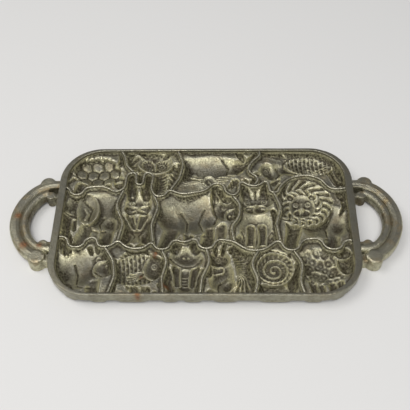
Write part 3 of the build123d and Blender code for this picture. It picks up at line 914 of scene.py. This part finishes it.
def add_reliefs(material):
    """Every cavity's relief, in place of its plain floor."""
    walls = merged_surface([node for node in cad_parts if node.startswith("wall_") or node == "rim"])
    for carve in ANIMALS:
        animal = carve.__name__
        node = f"floor_{animal}"
        cavity = Cavity(animal, walls, merged_surface([node]))
        carve(cavity)
        relief = add_object(f"relief_{animal}", relief_mesh(f"relief_{animal}", cavity))
        relief.data.materials.append(material)
        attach(relief, "root")
        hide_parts(node)


def melted(name, nodes, voxel, extra):
    """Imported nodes, and forms added to them, as one closed mesh with no seams between them."""
    bm = bmesh.new()
    for node in nodes:
        bm.from_mesh(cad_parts[node].data)
    if extra:
        extra(bm)
    bmesh.ops.remove_doubles(bm, verts=bm.verts, dist=MERGE_REACH * MM)
    piece = add_object(name, mesh_from(bm, name))
    remesh = piece.modifiers.new("melt", "REMESH")
    remesh.mode = "VOXEL"
    remesh.voxel_size = voxel * MM
    depsgraph = bpy.context.evaluated_depsgraph_get()
    closed = bpy.data.meshes.new_from_object(piece.evaluated_get(depsgraph))
    piece.modifiers.clear()
    piece.data = closed
    return piece


def relaxed(points, edges, rounds):
    """The points after some rounds of moving half-way to the middle of their neighbours."""
    share = np.bincount(edges.ravel(), minlength=len(points))[:, None]
    for _ in range(rounds):
        total = np.zeros(points.shape)
        np.add.at(total, edges[:, 0], points[edges[:, 1]])
        np.add.at(total, edges[:, 1], points[edges[:, 0]])
        points = (points + total / share) / 2
    return points


def sand_cast(points, size, height):
    """A slow unevenness over the points, in waves of about this size."""
    return height * np.array([hill.noise(Vector(point) / size) for point in points])


def read_all(items, name, width, kind=float):
    """One value of every item of a mesh, as the rows of an array."""
    values = np.empty(len(items) * width, kind)
    items.foreach_get(name, values)
    return values.reshape(-1, width)


def add_casting(name, nodes, irons, slot, voxel, rounding, sway, thinning=0, crest_wear_and_highlight=0, extra=None):
    """Melts nodes, softens and roughens them, marks the worn edges and crests, the painted highlight on the
    crests, and the dirt and painted shade of the creases and hollows, and puts the piece in their place.
    """
    piece = melted(name, nodes, voxel, extra)
    mesh = piece.data
    edges = read_all(mesh.edges, "vertices", 2, np.int32)
    normals = read_all(mesh.vertices, "normal", 3)
    points = relaxed(read_all(mesh.vertices, "co", 3) / MM, edges, rounding)
    gain = CREASE_GAIN / voxel**2
    fine = ((relaxed(points, edges, FINE_ROUNDS) - points) * normals).sum(1)
    broad = ((relaxed(points, edges, BROAD_ROUNDS) - points) * normals).sum(1)
    # The top of the piece, which gets wear and a painted highlight
    crest = np.clip(points[:, 2] - points[:, 2].max() + CREST_DEPTH, 0, 1)
    waves = sand_cast(points, LONG_WAVE, sway) + sand_cast(points, SHORT_WAVE, SHORT_WAVE_SHARE * sway)
    points += normals * (waves - sway)[:, None]
    points -= normals * (thinning, thinning, 0)
    mesh.vertices.foreach_set("co", (points * MM).ravel())
    wear_and_highlight = np.clip(-gain * fine - EDGE_WEAR_START, 0, 1) + crest_wear_and_highlight * crest
    # Grime and painted shade in creases, painted shade in broad hollows
    grime_and_shade = np.clip(gain * fine - FINE_GRIME_AND_SHADE_START, 0, 1)
    grime_and_shade += np.clip(CASTING_BROAD_PAINTED_SHADE * broad, 0, BROAD_PAINTED_SHADE_LIMIT)
    for mark, values in (("wear_and_highlight", wear_and_highlight), ("grime_and_shade", grime_and_shade)):
        layer = mesh.attributes.new(mark, "FLOAT", "POINT")
        layer.data.foreach_set("value", np.clip(values, 0, 1))
    mesh.shade_smooth()
    mesh.update()
    mesh.materials.clear()
    mesh.materials.append(irons[slot])
    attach(piece, "root")
    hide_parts(*nodes)
    return piece


def add_bellies(bm):
    """The undersides of the cavities, where they swell out under the rim's skirt."""
    depth = BELLY_TOP - BELLY_BOTTOM
    for x, y, length, turn in BELLIES:
        ball = bmesh.ops.create_uvsphere(bm, u_segments=BELLY_SIDES, v_segments=BELLY_SIDES // 2, radius=1)
        for v in ball["verts"]:
            full = Vector([math.copysign(abs(c) ** BELLY_FULLNESS, c) for c in v.co])
            v.co = Vector((full.x * length / 2, full.y * BELLY_WIDTH / 2, min(full.z * depth, 0)))
            v.co.rotate(Matrix.Rotation(math.radians(turn), 3, "Z"))
            v.co = (v.co + Vector((x, y, BELLY_TOP))) * MM


def handle_line(offset):
    """Places along the right handle from rear to front, each with its heading. They lie this far outside the
    groove between the strands."""
    x, y = HANDLE_START
    heading = 0
    yield HANDLE_ROOT_X, y + offset, heading
    for radius, turn in HANDLE_ARCS:
        steps = math.ceil(math.radians(turn) * radius / HANDLE_STEP)
        for _ in range(steps):
            yield x - offset * math.sin(heading), y + offset * math.cos(heading), heading
            heading -= math.radians(turn) / steps
            x += math.cos(heading) * math.radians(turn) * radius / steps
            y += math.sin(heading) * math.radians(turn) * radius / steps


def add_crown(side, bm):
    """The broad round crown that joins the two beads of a handle's outer strand."""
    rings = []
    for x, y, heading in handle_line(CROWN_OFFSET):
        ring = []
        for k in range(CROWN_SIDES):
            angle = 2 * math.pi * k / CROWN_SIDES
            out = CROWN_HALF_WIDTH * math.cos(angle)
            place_x = side * (x - out * math.sin(heading))
            place_y = y + out * math.cos(heading)
            place_z = CROWN_Z + CROWN_RISE * math.sin(angle)
            ring.append(bm.verts.new(Vector((place_x, place_y, place_z)) * MM))
        rings.append(ring)
    for first, second in zip(rings, rings[1:]):
        for k in range(CROWN_SIDES):
            bm.faces.new((first[k - 1], first[k], second[k], second[k - 1]))
    bm.faces.new(rings[0])
    bm.faces.new(rings[-1])


def shade_inside(piece):
    """Paints shade on a handle's inner faces, which face the eye of the handle, and takes the worn brightness
    off them.
    """
    mesh = piece.data
    side = math.copysign(1, mesh.vertices[0].co.x)
    grime_and_shade = mesh.attributes["grime_and_shade"].data
    wear_and_highlight = mesh.attributes["wear_and_highlight"].data
    for k, v in enumerate(mesh.vertices):
        inward = Vector((side * HANDLE_EYE_X * MM - v.co.x, -v.co.y, 0)).normalized()
        facing = min(max(INSIDE_GAIN * (v.normal.dot(inward) - INSIDE_START), 0), 1)
        # Painted shade on faces that turn towards the eye
        grime_and_shade[k].value = max(grime_and_shade[k].value, INSIDE_PAINTED_SHADE * facing)
        wear_and_highlight[k].value *= 1 - facing


def add_castings(irons):
    """The rim, the walls and the two handles, each with the soft edges and uneven skin of a casting."""
    names = list(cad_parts)
    add_casting("cast_rim", ["rim"], irons, "rim_iron", RIM_VOXEL, RIM_ROUNDING, RIM_SWAY, extra=add_bellies)
    rear = [name for name in names if name.startswith("wall_rear")]
    front = [name for name in names if name.startswith("wall_front")]
    cross = [name for name in names if name.startswith("wall_") and name not in rear + front]
    for place, nodes in (("rear", rear), ("front", front), ("cross", cross)):
        add_casting(f"cast_walls_{place}", nodes, irons, "wall_iron", VOXEL, WALL_ROUNDING, WALL_SWAY,
                    thinning=WALL_THINNING, crest_wear_and_highlight=WALL_CREST_WEAR_AND_HIGHLIGHT)
    for side, sign in (("left", -1), ("right", 1)):
        nodes = [name for name in names if name.startswith(f"{side}_handle")]
        handle = add_casting(f"cast_handle_{side}", nodes, irons, "handle_iron", VOXEL, HANDLE_ROUNDING,
                             HANDLE_SWAY, crest_wear_and_highlight=HANDLE_CREST_WEAR_AND_HIGHLIGHT, extra=partial(add_crown, sign))
        shade_inside(handle)


def new_group(name, inputs, outputs):
    """An empty node group with its named sockets, and its input and output nodes. All but the sockets named
    Vector and Color are numbers."""
    kinds = {"Vector": "NodeSocketVector", "Color": "NodeSocketColor"}
    tree = bpy.data.node_groups.new(name, "ShaderNodeTree")
    for in_out, sockets in (("INPUT", inputs), ("OUTPUT", outputs)):
        for socket in sockets:
            kind = kinds.get(socket, "NodeSocketFloat")
            tree.interface.new_socket(name=socket, in_out=in_out, socket_type=kind)
    return tree, tree.nodes.new("NodeGroupInput").outputs, tree.nodes.new("NodeGroupOutput").inputs


def noise(tree, vector, scale, detail, roughness):
    """A noise pattern on a vector, in spots of about 1 / scale metres."""
    node = tree.nodes.new("ShaderNodeTexNoise")
    tree.links.new(vector, node.inputs["Vector"])
    for socket, number in (("Scale", scale), ("Detail", detail), ("Roughness", roughness)):
        node.inputs[socket].default_value = number
    return node.outputs["Fac"]


def ramp(tree, value, low, high, start=0.0, end=1.0):
    """A value's eased rise from low to high, as one from start to end."""
    node = tree.nodes.new("ShaderNodeMapRange")
    node.interpolation_type = "SMOOTHSTEP"
    tree.links.new(value, node.inputs["Value"])
    for socket, number in zip(("From Min", "From Max", "To Min", "To Max"), (low, high, start, end)):
        node.inputs[socket].default_value = number
    return node.outputs["Result"]


def combine(tree, operation, a, b):
    """One sum of two values, either of which may be a plain number."""
    node = tree.nodes.new("ShaderNodeMath")
    node.operation = operation
    for socket, value in zip(node.inputs, (a, b)):
        if isinstance(value, (int, float)):
            socket.default_value = value
        else:
            tree.links.new(value, socket)
    return node.outputs[0]


def arithmetic(tree):
    """The sums that a node group is made of."""
    return [partial(combine, tree, name) for name in ("ADD", "SUBTRACT", "MULTIPLY", "MAXIMUM")]


def blend(tree, share, first, second):
    """Two colours mixed, either of which may be a plain colour."""
    node = tree.nodes.new("ShaderNodeMix")
    node.data_type = "RGBA"
    tree.links.new(share, node.inputs["Factor"])
    colours = [socket for socket in node.inputs if socket.type == "RGBA"]
    for socket, value in zip(colours, (first, second)):
        if isinstance(value, tuple):
            socket.default_value = (*value, 1)
        else:
            tree.links.new(value, socket)
    return next(socket for socket in node.outputs if socket.type == "RGBA")


def rust_spots_group():
    """Small ragged rust spots, each in a broader stain."""
    tree, given, result = new_group("rust_spots", ("Vector",), ("Mask", "Halo"))
    add, subtract, multiply, maximum = arithmetic(tree)
    ragged = noise(tree, given["Vector"], *RUST_EDGE)
    flattened = tree.nodes.new("ShaderNodeVectorMath")
    flattened.operation = "MULTIPLY"
    tree.links.new(given["Vector"], flattened.inputs[0])
    flattened.inputs[1].default_value = (1, 1, RUST_SPREAD_DOWN)
    masks = {"Mask": 0.0, "Halo": 0.0}
    for x, y, z, spread in RUST_SPOTS:
        radius = spread * MM
        distance = tree.nodes.new("ShaderNodeVectorMath")
        distance.operation = "DISTANCE"
        tree.links.new(flattened.outputs["Vector"], distance.inputs[0])
        distance.inputs[1].default_value = (x * MM, y * MM, z * MM * RUST_SPREAD_DOWN)
        wobble = multiply(subtract(ragged, 0.5), RUST_RAGGEDNESS * radius)
        wobbled = add(distance.outputs["Value"], wobble)
        for name, reach in (("Mask", RUST_REACH), ("Halo", HALO_REACH)):
            spot = ramp(tree, wobbled, RUST_CORE * radius, reach * radius, 1, 0)
            masks[name] = maximum(masks[name], spot)
    for name, mask in masks.items():
        tree.links.new(mask, result[name])
    return tree


def cast_iron_group(rust_spots):
    """Satin cast iron: grey on flats, with a painted highlight in bright olive on steep faces and a real olive
    colour in patches; paler where worn, with a painted highlight on crests too; dark with dirt in its creases
    and with painted shade in its hollows.
    """
    inputs = ("Vector", "Wear_and_highlight", "Grime_and_shade", "Olive_and_highlight", "Stain")
    tree, given, result = new_group("cast_iron", inputs, ("Color", "Roughness", "Metallic", "Height"))
    add, subtract, multiply, maximum = arithmetic(tree)
    patterns = (PATCHES, MOTTLE, GRAIN, STAINS, PITS)
    patches, mottle, grain, stains, pits = [noise(tree, given["Vector"], *pattern) for pattern in patterns]
    normal = tree.nodes.new("ShaderNodeNewGeometry").outputs["Normal"]
    split = tree.nodes.new("ShaderNodeSeparateXYZ")
    tree.links.new(normal, split.inputs[0])
    spots = tree.nodes.new("ShaderNodeGroup")
    spots.node_tree = rust_spots
    tree.links.new(given["Vector"], spots.inputs["Vector"])

    # Painted highlight: steep faces turn a bright olive. The olive patches are a real tinge.
    slope_highlight = ramp(tree, split.outputs["Z"], *SLOPE_HIGHLIGHT_RAMP)
    olive_and_highlight = add(multiply(slope_highlight, SLOPE_HIGHLIGHT_SHARE), ramp(tree, patches, *OLIVE_PATCHES))
    rust = multiply(spots.outputs["Mask"], RUST_COVER)
    stain = multiply(ramp(tree, stains, *STAINED), given["Stain"])
    stain = maximum(stain, multiply(spots.outputs["Halo"], HALO_COVER))
    # Wear on edges, with a painted highlight on crests; grime in creases, with painted shade in hollows
    wear_and_highlight = multiply(given["Wear_and_highlight"], ramp(tree, mottle, *WORN_AND_HIGHLIGHT_MOTTLE))
    grime_and_shade = multiply(given["Grime_and_shade"], ramp(tree, pits, *PITTED_GRIME_AND_SHADE))

    colour = blend(tree, multiply(olive_and_highlight, given["Olive_and_highlight"]), GREY_IRON, OLIVE_AND_SLOPE_HIGHLIGHT)
    colour = blend(tree, ramp(tree, mottle, *DULL_MOTTLE), colour, DULL_IRON)
    colour = blend(tree, ramp(tree, pits, *DULL_PITS), colour, DULL_IRON)
    colour = blend(tree, stain, colour, BROWN_SKIN)
    colour = blend(tree, wear_and_highlight, colour, WORN_AND_HIGHLIGHT_IRON)
    colour = blend(tree, grime_and_shade, colour, GRIME_AND_SHADE)
    rust_colour = blend(tree, ramp(tree, pits, *RUSTY_PITS), RUST_DARK, RUST_LIGHT)
    tree.links.new(blend(tree, rust, colour, rust_colour), result["Color"])

    rough = add(ramp(tree, mottle, *ROUGHNESS), multiply(grime_and_shade, GRIME_AND_SHADE_ROUGHNESS))
    rough = subtract(rough, multiply(wear_and_highlight, WEAR_AND_HIGHLIGHT_POLISH))
    rough = add(rough, multiply(rust, RUST_ROUGHNESS))
    tree.links.new(rough, result["Roughness"])

    dull = maximum(multiply(grime_and_shade, GRIME_AND_SHADE_DULLING), rust)
    tree.links.new(subtract(METALLIC, multiply(dull, METALLIC_LOSS)), result["Metallic"])

    height = add(multiply(grain, GRAIN_HEIGHT), multiply(pits, PIT_HEIGHT))
    height = add(height, multiply(rust, RUST_HEIGHT))
    tree.links.new(height, result["Height"])
    return tree


def iron_material(name, cast_iron):
    """One iron finish, which reads the worn edges, the dirt, the painted shade and the painted highlight that
    each piece keeps on its points.
    """
    olive_and_highlight, stain, grit = IRONS[name]
    material, shader = new_material(name)
    tree = material.node_tree
    vector = tree.nodes.new("ShaderNodeTexCoord").outputs["Object"]
    iron = tree.nodes.new("ShaderNodeGroup")
    iron.node_tree = cast_iron
    tree.links.new(vector, iron.inputs["Vector"])
    iron.inputs["Olive_and_highlight"].default_value = olive_and_highlight
    iron.inputs["Stain"].default_value = stain
    for attribute in ("wear_and_highlight", "grime_and_shade"):
        node = tree.nodes.new("ShaderNodeAttribute")
        node.attribute_name = attribute
        tree.links.new(node.outputs["Fac"], iron.inputs[attribute.capitalize()])
    for made, used in (("Color", "Base Color"), ("Roughness", "Roughness"), ("Metallic", "Metallic")):
        tree.links.new(iron.outputs[made], shader.inputs[used])
    bump = tree.nodes.new("ShaderNodeBump")
    bump.inputs["Strength"].default_value = 1
    bump.inputs["Distance"].default_value = grit * MM
    tree.links.new(iron.outputs["Height"], bump.inputs["Height"])
    tree.links.new(bump.outputs["Normal"], shader.inputs["Normal"])
    return material


def add_light(name, place, size, power, colour):
    """A soft square light that faces the pan."""
    data = bpy.data.lights.new(name, "AREA")
    data.shape = "SQUARE"
    data.size = size
    data.energy = power
    data.color = colour
    light = add_object(name, data)
    light.location = place
    light.rotation_euler = (Vector(LIGHT_AIM) - Vector(place)).to_track_quat("-Z", "Y").to_euler()


def add_table():
    """The pale table top."""
    bm = bmesh.new()
    bmesh.ops.create_grid(bm, x_segments=1, y_segments=1, size=TABLE_REACH)
    floor = add_object("table_top", mesh_from(bm, "table_top"))
    material, shader = new_material("pale_table")
    shader.inputs["Base Color"].default_value = (*TABLE_COLOUR, 1)
    shader.inputs["Roughness"].default_value = TABLE_ROUGHNESS
    shader.inputs["Specular IOR Level"].default_value = TABLE_SHINE
    floor.data.materials.append(material)
    floor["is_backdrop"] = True


def add_camera():
    """The camera that took the photograph."""
    data = bpy.data.cameras.new("camera")
    data.sensor_width = SENSOR_WIDTH
    data.lens = FOCAL_LENGTH
    camera = add_object("camera", data)
    axes = Matrix((CAMERA_RIGHT, CAMERA_UP, -Vector(CAMERA_AHEAD))).transposed()
    camera.matrix_world = Matrix.Translation(CAMERA_PLACE) @ axes.to_4x4()
    bpy.context.scene.camera = camera


def add_world():
    """An even, dim surrounding light."""
    world = bpy.data.worlds.new("studio")
    world.use_nodes = True
    background = world.node_tree.nodes["Background"]
    background.inputs["Color"].default_value = (*WORLD_COLOUR, 1)
    background.inputs["Strength"].default_value = 1.0
    bpy.context.scene.world = world


bpy.context.scene.view_settings.view_transform = "Standard"
add_camera()
add_world()
add_table()
for light in LIGHTS:
    add_light(*light)

cast_iron = cast_iron_group(rust_spots_group())
irons = {name: iron_material(name, cast_iron) for name in IRONS}
add_reliefs(irons["cavity_iron"])
add_castings(irons)

boxes = {"cad": cad_box, "visual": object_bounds()}
{name: [list(corner) for corner in box] for name, box in boxes.items()}
